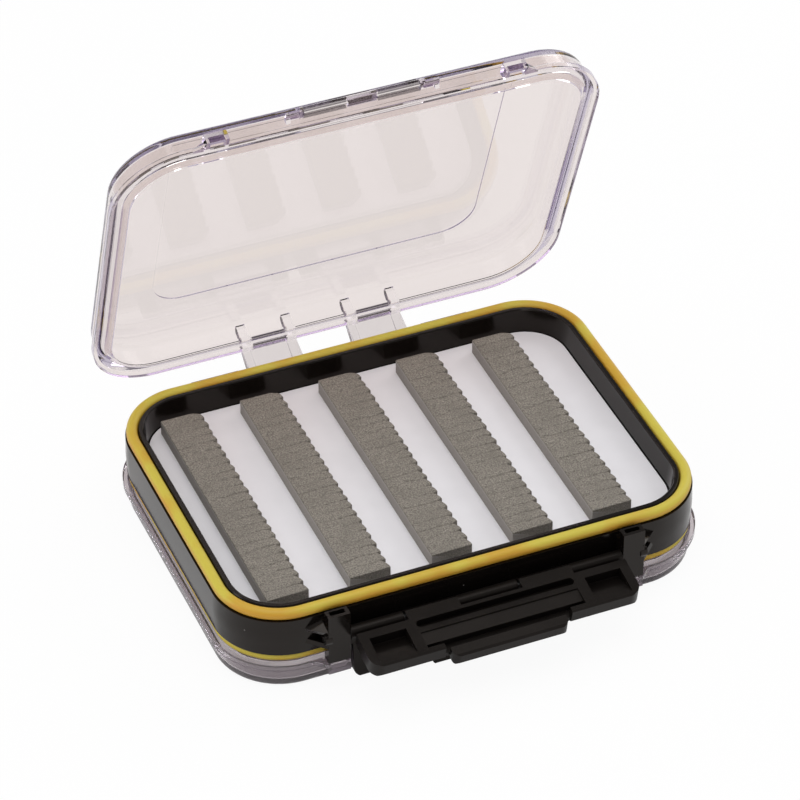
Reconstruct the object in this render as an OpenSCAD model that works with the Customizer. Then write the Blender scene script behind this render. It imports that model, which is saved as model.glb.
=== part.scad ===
// Double-sided waterproof fly box: a black frame with a floor at mid height, a seal and a
// clear lid on each side, slit-foam strips to hold the flies, and two latches on one pin.
// Sizes are in millimetres. The origin is the middle of the lower lid's flat outer face,
// X runs along the box, Y from the latches to the hinges, and Z up.

/* [Box] */
// Overall length across the lid flanges
case_len = 129.4; // [110:1:200]
// Overall width across the lid flanges, without latches and hinges
case_wid = 96; // [80:1:140]
// Overall height with both lids shut
case_h = 32.4; // [31:0.1:44]
// Corner radius of the lid flange, seen from above
corner_r = 18.5; // [14:0.5:24]

/* [Seal] */
// Thickness of the round rubber gasket
gasket_d = 3; // [2:0.1:4]
// Height of the gasket's middle above the box's mid plane
gasket_z = 6.5; // [5.5:0.1:9]
// How far the lid flange stands out past the gasket's middle
flange_over = 3; // [2.4:0.1:4]

/* [Frame] */
// Frame wall outside the gasket's middle, at the parting line
wall_out = 1.9; // [1.7:0.1:2.2]
// Frame wall inside the gasket's middle, at the rim
wall_in = 3; // [2.8:0.1:4]
// Lean of the inner wall from the rim to the floor
wall_draft = 1; // [0:0.1:1.5]
// Thickness of the floor that divides the two sides
web_t = 1.2; // [0.8:0.1:2]
// Thickness of the white sheet on each side of the floor
liner_t = 0.5; // [0.3:0.1:1]
// Height of the sealing lip above the gasket's middle
lip_h = 1; // [0.6:0.1:1.4]

/* [Foam] */
// Number of foam strips on each side
strip_n = 5; // [3:1:5]
// Width of one strip
strip_w = 11; // [8:0.5:12]
// Room between a strip's end and the foot of the frame's wall
strip_gap = 3.8; // [1:0.1:8]
// Height of one strip
strip_h = 4.35; // [3:0.05:5]
// Distance from one strip to the next
strip_pitch = 21.6; // [16:0.1:22]
// How far the row of strips sits towards the left
strip_shift = 3.6; // [0:0.1:4]
// Number of leaves that the slits cut in one strip
leaf_n = 24; // [12:1:30]
// Depth of the notch between two leaves
leaf_notch = 0.45; // [0.2:0.05:0.8]

/* [Lids] */
// Thickness of the clear panel
panel_t = 1.8; // [1.4:0.1:2.4]
// Thickness of the lid's side wall
lid_wall = 2; // [1.6:0.1:2.4]
// Thickness of the lid's flange
flange_t = 2.1; // [1.6:0.1:2.8]
// Radius of the panel's outer edge
panel_fillet = 2.2; // [1:0.1:2.6]
// Step in thickness of the panel's thinner field
field_step = 0.3; // [0.2:0.05:0.6]
// Angle of the upper lid from shut, as it stands in the picture
lid_open = 70.2; // [0:0.1:92]

/* [Latches] */
// Inside distance between the two guard posts
bay_w = 72.3; // [60:0.1:80]
// Width of one guard post
post_w = 5.75; // [5:0.05:8]
// Diameter of the steel pins
pin_d = 1.6; // [1.4:0.1:2]
// Radial running clearance of a pin in a moving knuckle
pin_gap = 0.06; // [0.03:0.01:0.1]
// Diameter of the hinge knuckles
knuckle_d = 5.2; // [4.8:0.1:5.6]
// Diameter of the latch knuckles
latch_knuckle_d = 3.4; // [3:0.1:4.4]
// Width of the latch's finger tab
tab_w = 30.6; // [24:0.1:36]
// Thickness of the latch near its knuckles
latch_t = 3.95; // [3.5:0.05:4.2]
// Angle of the upper latch from shut, as it hangs in the picture
latch_open = 100.5; // [0:0.1:104]

/* [Hinges] */
// Width of each upper hinge arm
upper_arm_w = 15; // [10:0.5:16]
// Width of each lower hinge arm
lower_arm_w = 13; // [10:0.5:16]
// Distance from the middle of the box to the first frame lug
lug_start = 2.2; // [1:0.1:6]

/* [Hidden] */
$fn = 72;
eps = 0.01;
mid_z = case_h / 2;
air = 0.25;             // side clearance between neighbouring knuckles
seat_air = 0.1;         // gap left between faces that only just meet
seal_air = 0.05;        // clearance of the gasket in its seat
press_air = 0.02;       // radial clearance of a pin in the frame

// The seal path: the rounded rectangle along the gasket's middle. Every other outline of
// the frame and lids is this path moved outwards by some offset.
seal_a = case_len / 2 - flange_over;
seal_b = case_wid / 2 - flange_over;
seal_r = corner_r - flange_over;
turn_x = seal_a - seal_r;
turn_y = seal_b - seal_r;

// Heights above the mid plane
gasket_bite = 0.35;
shoulder_z = gasket_z - gasket_d / 2 + gasket_bite;
lip_z = gasket_z + lip_h;
seal_z = gasket_z + gasket_d / 2 + seat_air;   // lid's groove above the gasket
rim_z = seal_z - 0.4;                          // underside of the lid's rim
flange_z = rim_z + flange_t;
panel_z = mid_z - panel_t;
floor_z = web_t / 2 + liner_t;

// Frame
shoulder_draft = 0.15;
lip_in = 0.3;            // bevel of the lip
web_reach = 0.1;         // how far the floor runs into the wall
liner_air = 0.2;
foot_off = -wall_in - wall_draft;
strip_len = 2 * (seal_b + foot_off - strip_gap);

// Latch pin, guard posts and hinge pin
latch_y = -(seal_b + wall_out + 3);
latch_clear = 2.1;       // the flange in the latch bay ends here, past the gasket's middle
knuckle_r = knuckle_d / 2;
hinge_y = seal_b + wall_out + knuckle_r + 0.5;
pin_r = pin_d / 2;
post_x = bay_w / 2;
post_front = latch_y - 1.2;
post_h = 7.25;           // half the height of a guard post
post_wall = 0.9;
post_well = 3.4;         // depth of the post's open end
post_top = 2.8;          // depth of its top, front to back
post_slot = 1.4;         // width of that open end
boss_len = 0.8;
boss_r = 1.6;
web_in = 3.7;            // height of the post's side gusset at the wall
gusset_t = 1.2;
gusset_len = 5;
gusset_tilt = [12, 15];  // its slope to the front and along the wall

// Latch, from its pin towards its tab
plate_start = 2.85;
plate_end = 13.8;
plate_half = post_x - 0.6;
plate_r = 3.2;
plate_swell = 0.3;       // how much thicker the plate is at its end
face_in = 2.55;          // inner face, on the box's side of the pin
face_out = face_in - latch_t;
heel_out = -0.8;
slot_lo = 3.85;
slot_hi = 6;
slot_half = 20.8;
pad_lo = 7.5;            // recessed pad between the slot and the groove
pad_step = 0.45;
pad_dip = 0.9;
catch_lo = 11.5;         // catch on the lid, above the mid plane
catch_hi = 13;
catch_air = 0.15;
catch_tip = latch_y + 0.2;
groove_floor = -0.3;
groove_room = 0.6;       // how far the groove starts before the catch
wing_lo = 12.3;          // beside the tab the groove is narrower and ends here
hook_in = face_in - 1.25;
tab_end = mid_z - 0.2;
tab_flare = 0.9;         // how far the tab's tip turns out past the plate
tab_gap = 1.3;           // opening on each side of the tab
tab_side = tab_w / 2 + tab_gap;
catch_half = tab_side - 0.3;
catch_end = slot_half - 0.7;
pocket_x0 = slot_half + 2.8;
pocket_x1 = plate_half - 2.4;
pocket_lo = 5.1;
pocket_hi = 12.7;
pocket_depth = 3;
upper_knuckles = [8.15, 21.85];

// Hinges: along each pin come a lug, the upper arm, a lug, the lower arm and a lug
inner_lug_w = 4.75;
mid_lug_w = 2.95;
end_lug_w = 3.5;
upper_arm_x = lug_start + inner_lug_w + air;
mid_lug_x = upper_arm_x + upper_arm_w + air;
lower_arm_x = mid_lug_x + mid_lug_w + air;
end_lug_x = lower_arm_x + lower_arm_w + air;
hinge_end_x = end_lug_x + end_lug_w;
rib_w = 2.4;
rib_top = mid_z - 1.6;
slit_in = 2.9;           // from an arm's side to its window

// ---- shared shapes ----

// Rounded rectangle, offset outwards from the seal path
module outline(off) {
    square([2 * (seal_a + off), 2 * turn_y], center = true);
    square([2 * turn_x, 2 * (seal_b + off)], center = true);
    for (sx = [-1, 1], sy = [-1, 1])
        translate([sx * turn_x, sy * turn_y])
            circle(r = seal_r + off);
}

// Flat plate between two heights, its edge offset from the seal path
module slab(off, z0, z1) {
    translate([0, 0, z0])
        linear_extrude(z1 - z0)
            outline(off);
}

// Carries a section round the seal path: its x is the offset outwards, its y the height
module round_box() {
    for (k = [0:3]) {
        hx = k % 2 == 0 ? turn_x : turn_y;
        hy = k % 2 == 0 ? turn_y : turn_x;
        rotate(90 * k)
            translate([hx, hy, 0]) {
                rotate_extrude(angle = 90)
                    translate([seal_r, 0])
                        children();
                rotate([90, 0, 0])
                    linear_extrude(2 * hy)
                        translate([seal_r, 0])
                            children();
            }
    }
}

// Extrudes a side view, drawn as (y, z), from x0 to x1
module across(x0, x1) {
    translate([x0, 0, 0])
        rotate([90, 0, 90])
            linear_extrude(x1 - x0)
                children();
}

// Extrudes a front view, drawn as (x, z), from y0 to y1
module deep(y0, y1) {
    translate([0, y1, 0])
        rotate([90, 0, 0])
            linear_extrude(y1 - y0)
                children();
}

// Box between two corners
module block(lo, hi) {
    translate(lo)
        cube(hi - lo);
}

// Round bar along X
module bar(r, x0, x1) {
    across(x0, x1)
        circle(r = r);
}

// The same shape on both sides of the middle
module both_sides() {
    for (s = [0, 1])
        mirror([s, 0, 0])
            children();
}

// Turns a shape about a line along X through (y, z)
module about(y, z, angle) {
    translate([0, y, z])
        rotate([angle, 0, 0])
            translate([0, -y, -z])
                children();
}

// Points of an arc
function arc(cx, cy, r, a0, a1, n = 8) =
    [for (i = [0:n]) let (a = a0 + (a1 - a0) * i / n) [cx + r * cos(a), cy + r * sin(a)]];

// ---- frame ----

// Section of the frame's wall, above and below the mid plane alike
module wall_section() {
    half = [
        [wall_out - shoulder_draft, shoulder_z],
        [-gasket_d / 2 - seat_air, shoulder_z],
        [-gasket_d / 2 - seat_air, lip_z - lip_in],
        [-gasket_d / 2 - seat_air - lip_in, lip_z],
        [-wall_in + lip_in, lip_z],
        [-wall_in, lip_z - lip_in],
        [foot_off, web_t / 2]
    ];
    difference() {
        polygon(concat(
            [[wall_out, 0]],
            half,
            [for (i = [len(half) - 1:-1:0]) [half[i].x, -half[i].y]]
        ));
        for (s = [-1, 1])
            translate([0, s * gasket_z])
                circle(r = gasket_d / 2 + seal_air);
    }
}

// Guard post beside the latch, with its pin boss and two side gussets
module guard_post() {
    root_y = -(seal_b + 1);
    top_y = post_front + post_top;
    difference() {
        union() {
            block([post_x, post_front, -shoulder_z + 1], [post_x + post_w, root_y, shoulder_z - 1]);
            block([post_x, post_front, -post_h], [post_x + post_w, top_y, post_h]);
            for (s = [0, 1])
                mirror([0, 0, s])
                    translate([post_x + post_w - 0.3, root_y, web_in - gusset_t])
                        rotate([gusset_tilt.x, gusset_tilt.y, 0])
                            linear_extrude(gusset_t)
                                polygon([[0, 0], [gusset_len + 0.3, 0], [0, post_front - root_y]]);
            translate([0, latch_y, 0])
                bar(boss_r, post_x + post_w - 1, post_x + post_w + boss_len);
            block([post_x + post_w - 1, latch_y, -boss_r / 2],
                  [post_x + post_w + boss_len, root_y, boss_r / 2]);
        }
        for (s = [0, 1])
            mirror([0, 0, s])
                block([post_x + post_wall, post_front + post_wall, post_h - post_well],
                      [post_x + post_w - post_wall, post_front + post_wall + post_slot, post_h + 1]);
    }
}

// Hinge lug on the back wall
module hinge_lug(x0, w) {
    root_y = seal_b + 1;
    across(x0, x0 + w) {
        translate([hinge_y, 0])
            circle(r = knuckle_r);
        polygon([[root_y, 3.6], [hinge_y + 0.3, 1.9], [hinge_y + 0.3, -1.9], [root_y, -3.6]]);
    }
}

module body_frame() {
    color("#2d2a28")
    translate([0, 0, mid_z])
    difference() {
        union() {
            round_box()
                wall_section();
            slab(foot_off + web_reach, -web_t / 2, web_t / 2);
            both_sides() {
                guard_post();
                hinge_lug(lug_start, inner_lug_w);
                hinge_lug(mid_lug_x, mid_lug_w);
                hinge_lug(end_lug_x, end_lug_w);
            }
        }
        both_sides() {
            translate([0, latch_y, 0])
                bar(pin_r + press_air, post_x - 1, post_x + post_w + boss_len + 1);
            translate([0, hinge_y, 0])
                bar(pin_r + press_air, lug_start - 1, hinge_end_x + 1);
        }
    }
}

// ---- seal, floor sheets and foam ----

module gasket() {
    round_box()
        translate([0, gasket_z])
            circle(d = gasket_d);
}

module liner() {
    slab(foot_off - liner_air, web_t / 2, floor_z);
}

// Plan of one strip: straight on the left, one shallow notch for each slit on the right
module strip_plan() {
    leaf = strip_len / leaf_n;
    x1 = strip_w / 2;
    polygon(concat(
        [[-x1, -strip_len / 2]],
        [for (i = [0:leaf_n - 1], c = [[leaf_notch, 0.02], [0, 0.3], [0, 0.8], [leaf_notch, 0.98]])
            [x1 - c[0], -strip_len / 2 + leaf * (i + c[1])]],
        [[-x1, strip_len / 2]]
    ));
}

module strip(i) {
    translate([(i - (strip_n + 1) / 2) * strip_pitch - strip_shift, 0, floor_z])
        linear_extrude(strip_h)
            strip_plan();
}

// Places a piece of the upper side in the box
module upper_side() {
    translate([0, 0, mid_z])
        children();
}

// Places the same piece on the lower side, as when the box is turned over
module lower_side() {
    translate([0, 0, mid_z])
        rotate([0, 180, 0])
            children();
}

// ---- lids, drawn shut over the mid plane ----

lid_top = mid_z;
wall_foot = flange_over - 1.2;    // lid wall's outer face at the flange
wall_head = flange_over - 1.5;    // and at the panel
hollow_foot = wall_foot - lid_wall;
hollow_head = wall_head - lid_wall;
rim_in = -1.9;
groove_half = 1.3;

// Section of the lid's wall: panel edge, side wall, and a flange with a groove for the seal
module lid_section() {
    polygon(concat(
        [
            [rim_in, rim_z],
            [-groove_half, rim_z],
            [-groove_half, seal_z],
            [groove_half, seal_z],
            [groove_half, rim_z],
            [flange_over, rim_z],
            [flange_over, flange_z - 0.3],
            [flange_over - 0.3, flange_z],
            [wall_foot, flange_z]
        ],
        arc(wall_head - panel_fillet, lid_top - panel_fillet, panel_fillet, 0, 90),
        [[rim_in - 1, lid_top], [rim_in - 1, panel_z]],
        arc(hollow_head - 0.8, panel_z - 0.8, 0.8, 90, 0, 5),
        [
            [hollow_foot, flange_z],
            [rim_in, flange_z - 0.7]
        ]
    ));
}

// Catch bar that the latch's groove closes over, with two moulding slots. Past the tab it
// is thinner, and a rib carries each end.
module catch_bar() {
    root_y = -(seal_b + 0.6);
    end_hi = wing_lo - 0.2;
    rib_y = latch_y + face_in - 0.6;
    difference() {
        union() {
            across(-catch_half, catch_half)
                polygon([
                    [root_y, catch_lo], [catch_tip + 0.2, catch_lo], [catch_tip, catch_lo + 0.3],
                    [catch_tip, catch_hi - 0.5], [catch_tip + 0.5, catch_hi], [root_y, catch_hi]
                ]);
            across(-catch_end, catch_end)
                polygon([
                    [root_y, catch_lo], [catch_tip + 0.3, catch_lo],
                    [catch_tip + 0.3, end_hi], [root_y, end_hi]
                ]);
        }
        both_sides()
            block([3.8, latch_y + 1.6, catch_lo - 1], [catch_half - 1.1, latch_y + 3.2, catch_hi + 1]);
    }
    both_sides()
        across(catch_end - 1.2, catch_end)
            polygon([
                [root_y, end_hi + 2.4], [rib_y + 1, end_hi], [rib_y, end_hi - 0.2],
                [rib_y, catch_lo], [root_y, flange_z - eps]
            ]);
}

// Post on the lid that stands over the frame's guard post, with its gusset
module lid_post() {
    top = rim_z + 3;
    root_y = -(seal_b + 1.2);
    difference() {
        block([post_x, post_front, rim_z], [post_x + post_w, root_y, top]);
        block([post_x + post_wall, post_front + post_wall, rim_z - 1],
              [post_x + post_w - post_wall, root_y - 1.6, top - 1]);
    }
    translate([0, 0, rim_z])
        linear_extrude(gusset_t)
            polygon([
                [post_x + post_w - eps, root_y],
                [post_x + post_w + gusset_len, root_y],
                [post_x + post_w - eps, post_front]
            ]);
}

// Hinge arm: knuckle with a stop heel, a plate up to the flange, and a rib at each side
module hinge_arm(x0, w) {
    translate([0, hinge_y, 0]) {
        across(x0, x0 + w) {
            circle(r = knuckle_r);
            polygon([[0, 0], [-0.6, -2.4], [1.5, -3.05], [2.3, 0]]);
            polygon([
                [-1, 0], [1.6, 0], [1.6, 3.6], [-0.3, flange_z],
                [-3.2, flange_z], [-3.2, rim_z + 0.2], [-1, rim_z + 0.2]
            ]);
        }
        for (x = [x0, x0 + w - rib_w])
            across(x, x + rib_w)
                polygon([
                    [-1 + eps, 1], [2, 1], [2.2, 3.6], [0.2, 9], [-1.4, rib_top - 0.6],
                    [-2.2, rib_top], [-4.4, rib_top], [-4.4, flange_z - 0.5], [-1 + eps, 9]
                ]);
    }
}

module lid(arm_x, arm_w) {
    field_x = 0.72 * seal_a;
    field_back = seal_b - 19.8;
    field_r = 9;
    field_shift = 3.1;
    arm_mid = arm_x + arm_w / 2;
    difference() {
        union() {
            round_box()
                lid_section();
            slab(rim_in - 0.5, panel_z, lid_top);
            both_sides() {
                lid_post();
                hinge_arm(arm_x, arm_w);
            }
            catch_bar();
        }
        // thinner field of the panel, square at the latch and round at the hinge
        translate([-field_shift, 0, panel_z - 1])
            linear_extrude(1 + field_step) {
                block_y = field_back - field_r;
                translate([-field_x, -(seal_b - 2.4)])
                    square([2 * field_x, block_y + seal_b - 2.4]);
                translate([-field_x + field_r, block_y - 1])
                    square([2 * (field_x - field_r), field_r + 1]);
                for (s = [-1, 1])
                    translate([s * (field_x - field_r), block_y])
                        circle(r = field_r);
            }
        // the flange stands back in the latch bay
        block([-post_x, post_front - 1, rim_z - 1],
              [post_x, -(seal_b + latch_clear), flange_z + eps]);
        // finger room behind the tab
        block([-tab_w / 2 - 0.7, post_front - 1, catch_hi + 0.6],
              [tab_w / 2 + 0.7, -(seal_b + 0.35), lid_top + 1]);
        both_sides() {
            // moulding window between an arm's ribs
            block([arm_x + slit_in, hinge_y - 1.95, rim_z - 1],
                  [arm_x + arm_w - slit_in, hinge_y - 1, flange_z + 1]);
            translate([0, hinge_y, 0])
                bar(pin_r + pin_gap, arm_x - 1, arm_x + arm_w + 1);
        }
    }
}

// ---- latches, drawn shut with the pin's axis at the mid plane ----

// Front view of the plate, the gap beside the tab, and the tab
module latch_face() {
    difference() {
        union() {
            translate([-plate_half, plate_start])
                square([2 * plate_half, plate_end - plate_r - plate_start]);
            translate([-plate_half + plate_r, plate_end - plate_r - 1])
                square([2 * (plate_half - plate_r), plate_r + 1]);
            for (s = [-1, 1])
                translate([s * (plate_half - plate_r), plate_end - plate_r])
                    circle(r = plate_r);
        }
        translate([-tab_side, catch_hi + catch_air])
            square([2 * tab_side, plate_end]);
    }
}

module tab_face() {
    r = 2;
    translate([-tab_w / 2, catch_lo])
        square([tab_w, tab_end - r - catch_lo]);
    translate([-tab_w / 2 + r, catch_lo])
        square([tab_w - 2 * r, tab_end - catch_lo]);
    for (s = [-1, 1])
        translate([s * (tab_w / 2 - r), tab_end - r])
            circle(r = r);
}

// Long slot with round ends
module slot_face() {
    r = (slot_hi - slot_lo) / 2;
    translate([-slot_half + r, slot_lo])
        square([2 * (slot_half - r), 2 * r]);
    for (s = [-1, 1])
        translate([s * (slot_half - r), slot_lo + r])
            circle(r = r);
}

// Knuckles, each with the web that carries it on the plate. The web's inner face runs flush
// with the plate's up to the given height, then turns in to the knuckle.
module latch_knuckles(spans, flush_lo) {
    turn = latch_knuckle_d / 2 - 0.2;
    for (s = spans)
        across(s[0], s[1]) {
            circle(d = latch_knuckle_d);
            polygon([
                [turn, flush_lo - 0.9], [face_in - 0.2, flush_lo - 0.2], [face_in, flush_lo],
                [face_in, plate_start + 0.4], [heel_out, plate_start + 0.4], [-1.3, 0.3]
            ]);
        }
}

module latch(spans, flush_lo) {
    groove_lo = catch_lo - groove_room;
    groove_hi = catch_hi + catch_air;
    plate_out = face_out - plate_swell;
    tip_out = plate_out - tab_flare;
    translate([0, latch_y, 0])
    difference() {
        union() {
            intersection() {
                deep(plate_out, face_in)
                    latch_face();
                across(-plate_half, plate_half)
                    polygon([
                        [face_in, plate_start], [face_in, plate_end - 0.4],
                        [face_in - 0.4, plate_end], [plate_out + 0.5, plate_end],
                        [plate_out, plate_end - 0.5], [face_out, 4.6], [heel_out, plate_start]
                    ]);
            }
            intersection() {
                deep(tip_out, face_in)
                    tab_face();
                across(-tab_w / 2, tab_w / 2)
                    polygon([
                        [plate_out + 0.1, catch_lo], [groove_floor, catch_lo],
                        [groove_floor, groove_hi], [hook_in, groove_hi],
                        [hook_in - 0.3, tab_end - 0.5], [hook_in - 0.8, tab_end],
                        [tip_out + 0.5, tab_end], [tip_out, tab_end - 0.5],
                        [tip_out, tab_end - 0.9], [plate_out + 0.1, tab_end - 2.6]
                    ]);
            }
            latch_knuckles(spans, flush_lo);
        }
        // slot near the knuckles
        deep(face_in - 2.35, face_in + 1)
            slot_face();
        // recessed pad, and the groove that closes over the catch
        across(-slot_half, slot_half)
            polygon([
                [face_in + 1, pad_lo], [face_in - pad_step, pad_lo],
                [face_in - pad_dip, groove_lo], [groove_floor, groove_lo],
                [groove_floor, wing_lo], [face_in + 1, wing_lo]
            ]);
        block([-tab_side, groove_floor, groove_lo + 1], [tab_side, face_in + 1, groove_hi]);
        // wedge pocket near each end
        both_sides()
            across(pocket_x0, pocket_x1)
                polygon([
                    [face_in + 1, pocket_lo], [face_in - pocket_depth, pocket_lo],
                    [face_in - pocket_depth, pocket_lo + 1], [face_in, pocket_hi],
                    [face_in + 1, pocket_hi]
                ]);
        bar(pin_r + pin_gap, -plate_half - 1, plate_half + 1);
    }
}

// ---- nodes ----

module upper_gasket() {
    color("#cdb945")
    upper_side()
        gasket();
}

module lower_gasket() {
    color("#cdb945")
    lower_side()
        gasket();
}

module upper_liner() {
    color("#dedade")
    upper_side()
        liner();
}

module lower_liner() {
    color("#dedade")
    lower_side()
        liner();
}

module upper_foam_strip(i) {
    color("#807c70")
    upper_side()
        strip(i);
}

module lower_foam_strip(i) {
    color("#807c70")
    lower_side()
        strip(i);
}

module upper_lid() {
    color("#e6dfe0", 0.4)
    upper_side()
        about(hinge_y, 0, -lid_open)
            lid(upper_arm_x, upper_arm_w);
}

module lower_lid() {
    color("#e6dfe0", 0.4)
    lower_side()
        lid(lower_arm_x, lower_arm_w);
}

module upper_latch() {
    k = upper_knuckles;
    color("#2d2a28")
    upper_side()
        about(latch_y, 0, latch_open)
            latch([[-k[1], -k[0]], [k[0], k[1]]], 0.15);
}

module lower_latch() {
    k = upper_knuckles;
    gap = 0.3;
    half = post_x - 0.15;
    color("#2d2a28")
    lower_side()
        latch([[-half, -k[1] - gap], [-k[0] + gap, k[0] - gap], [k[1] + gap, half]], 2.2);
}

module latch_pin() {
    half = post_x + post_w + boss_len - 0.3;
    color("#b9babd")
    translate([0, latch_y, mid_z])
        bar(pin_r, -half, half);
}

module hinge_pin() {
    translate([0, hinge_y, mid_z])
        bar(pin_r, lug_start + 0.4, hinge_end_x - 0.4);
}

module hinge_pin_left() {
    color("#b9babd")
    mirror([1, 0, 0])
        hinge_pin();
}

module hinge_pin_right() {
    color("#b9babd")
    hinge_pin();
}

body_frame();
upper_gasket();
lower_gasket();
upper_liner();
lower_liner();
for (i = [1:strip_n]) {
    upper_foam_strip(i);
    lower_foam_strip(i);
}
upper_lid();
lower_lid();
upper_latch();
lower_latch();
latch_pin();
hinge_pin_left();
hinge_pin_right();
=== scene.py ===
"""Two-sided fly box, standing open on a pale table in soft studio light.

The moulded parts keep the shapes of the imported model. Their edges are eased and they get the
finish of the real thing. The two rubber seals and the ten strips of slit foam are worked out
here as parametric surfaces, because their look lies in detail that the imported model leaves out.
"""
import logging
import math
from dataclasses import dataclass, field
from enum import Enum

import bmesh
import bpy
import numpy as np
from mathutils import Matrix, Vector


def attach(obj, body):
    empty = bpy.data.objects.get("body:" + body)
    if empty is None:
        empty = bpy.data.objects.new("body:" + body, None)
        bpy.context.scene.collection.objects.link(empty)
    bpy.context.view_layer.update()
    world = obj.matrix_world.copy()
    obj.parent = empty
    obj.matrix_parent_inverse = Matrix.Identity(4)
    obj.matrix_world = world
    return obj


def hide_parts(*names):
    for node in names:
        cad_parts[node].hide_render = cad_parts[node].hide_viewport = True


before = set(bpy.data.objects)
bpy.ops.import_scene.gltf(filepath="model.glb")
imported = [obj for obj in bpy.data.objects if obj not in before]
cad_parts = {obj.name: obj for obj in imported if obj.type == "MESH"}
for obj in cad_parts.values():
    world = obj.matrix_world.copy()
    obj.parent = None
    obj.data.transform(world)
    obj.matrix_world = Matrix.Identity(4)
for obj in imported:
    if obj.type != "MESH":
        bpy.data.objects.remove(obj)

Colour = tuple[float, float, float]
Place = tuple[float, float, float]
Span = tuple[float, float]

LOG = logging.getLogger("fly_box")
MM = 0.001
MID_Z = 16.2 * MM          # height of the plane that both sides share
HINGE_Y = 50.0 * MM        # line of the lids' hinge
WELD_GAP = 1e-6            # corners nearer to each other than this, in metres, are one corner
FLAT_TURN = 0.5            # faces that turn by fewer degrees than this are one face
MOST_NOISE = (0.3, 0.7)    # nearly all values of a noise lie between these
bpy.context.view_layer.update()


class Side(Enum):
    """The two sides of the floor. Each one's value is the sign of x and z there."""

    UPPER = 1.0
    LOWER = -1.0

    @property
    def word(self) -> str:
        """The side's name as the nodes spell it."""
        return self.name.lower()

    def place(self, points: np.ndarray) -> np.ndarray:
        """Carries points drawn over the middle plane to this side of the box.

        The lower side is the upper one turned half round about Y, so x and z change sign.

        Args:
            points: Points in metres, the middle plane at z = 0.

        Returns:
            The points in the box's own frame.
        """
        turned = points * np.array([self.value, 1.0, self.value])
        return turned + np.array([0.0, 0.0, MID_Z])


# ---- meshes ----

def grid_faces(rows: int, cols: int, around: bool) -> np.ndarray:
    """Lists the quads of a grid of points.

    Args:
        rows: Points along the path.
        cols: Points round each section, the last joined to the first.
        around: True where the path closes on itself too.

    Returns:
        One row of four point numbers for each quad, turning outwards for a section that runs
        anticlockwise as seen against the path.
    """
    r = np.arange(rows if around else rows - 1)[:, None]
    c = np.arange(cols)[None, :]
    r2, c2 = (r + 1) % rows, (c + 1) % cols
    quads = [r * cols + c, r * cols + c2, r2 * cols + c2, r2 * cols + c]
    return np.stack(quads, -1).reshape(-1, 4)


def capped_faces(rows: int, cols: int) -> list[list[int]]:
    """Lists the faces of a row of loops with a fan of triangles over each end.

    Args:
        rows: Number of loops.
        cols: Points in each loop.

    Returns:
        The point numbers of each face. The middles of the two ends follow the loops' points.
    """
    c = np.arange(cols)
    after, tail, middle = (c + 1) % cols, (rows - 1) * cols, rows * cols
    first = np.stack([np.full(cols, middle), after, c], -1)
    last = np.stack([np.full(cols, middle + 1), tail + c, tail + after], -1)
    return [*grid_faces(rows, cols, False).tolist(), *first.tolist(), *last.tolist()]


def link_piece(name: str, mesh: bpy.types.Mesh, angle: float) -> bpy.types.Object:
    """Links a mesh as an object at the origin, smooth between its hard edges.

    Args:
        name: The piece's name.
        mesh: Its mesh.
        angle: Edges that turn by more degrees than this stay hard.

    Returns:
        The new object.
    """
    mesh.polygons.foreach_set("use_smooth", np.ones(len(mesh.polygons), bool))
    mesh.set_sharp_from_angle(angle=math.radians(angle))
    piece = bpy.data.objects.new(name, mesh)
    bpy.context.scene.collection.objects.link(piece)
    return piece


def moulded_copy(node: str, name: str, edge: float, angle: float = 30.0) -> bpy.types.Object:
    """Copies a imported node, joins its loose triangles and eases its edges.

    Args:
        node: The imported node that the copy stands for.
        name: The copy's name.
        edge: Width of the eased edge in metres.
        angle: Edges that turn by more degrees than this are eased.

    Returns:
        The copy, which replaces the node.
    """
    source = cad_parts[node].data
    points = np.empty(len(source.vertices) * 3)
    source.vertices.foreach_get("co", points)
    corners = np.empty(len(source.loops), int)
    source.loops.foreach_get("vertex_index", corners)
    mesh = bpy.data.meshes.new(name)
    mesh.from_pydata(points.reshape(-1, 3), [], corners.reshape(-1, 3))
    shell = bmesh.new()
    shell.from_mesh(mesh)
    bmesh.ops.remove_doubles(shell, verts=shell.verts, dist=WELD_GAP)
    bmesh.ops.dissolve_limit(shell, angle_limit=math.radians(FLAT_TURN), verts=shell.verts,
                             edges=shell.edges)
    shell.to_mesh(mesh)
    shell.free()
    piece = link_piece(name, mesh, angle)
    bevel = piece.modifiers.new("eased edges", "BEVEL")
    bevel.width, bevel.segments = edge, 2
    bevel.limit_method, bevel.angle_limit = "ANGLE", math.radians(angle)
    even = piece.modifiers.new("even faces", "WEIGHTED_NORMAL")
    even.keep_sharp = True
    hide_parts(node)
    return piece


def dress(piece: bpy.types.Object, finish: bpy.types.Material, body: str) -> None:
    """Gives a piece its finish, and lets it ride on a body.

    Args:
        piece: The piece.
        finish: Its material.
        body: The body that carries it.
    """
    piece.data.materials.clear()
    piece.data.materials.append(finish)
    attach(piece, body)
    LOG.info("%s rides on %s", piece.name, body)


def dress_node(node: str, finish: bpy.types.Material) -> None:
    """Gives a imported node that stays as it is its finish.

    Args:
        node: The node's name.
        finish: Its material.
    """
    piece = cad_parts[node]
    piece.data.materials.clear()
    piece.data.materials.append(finish)
    LOG.info("%s keeps its packed mesh", node)


# ---- node trees ----

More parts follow.
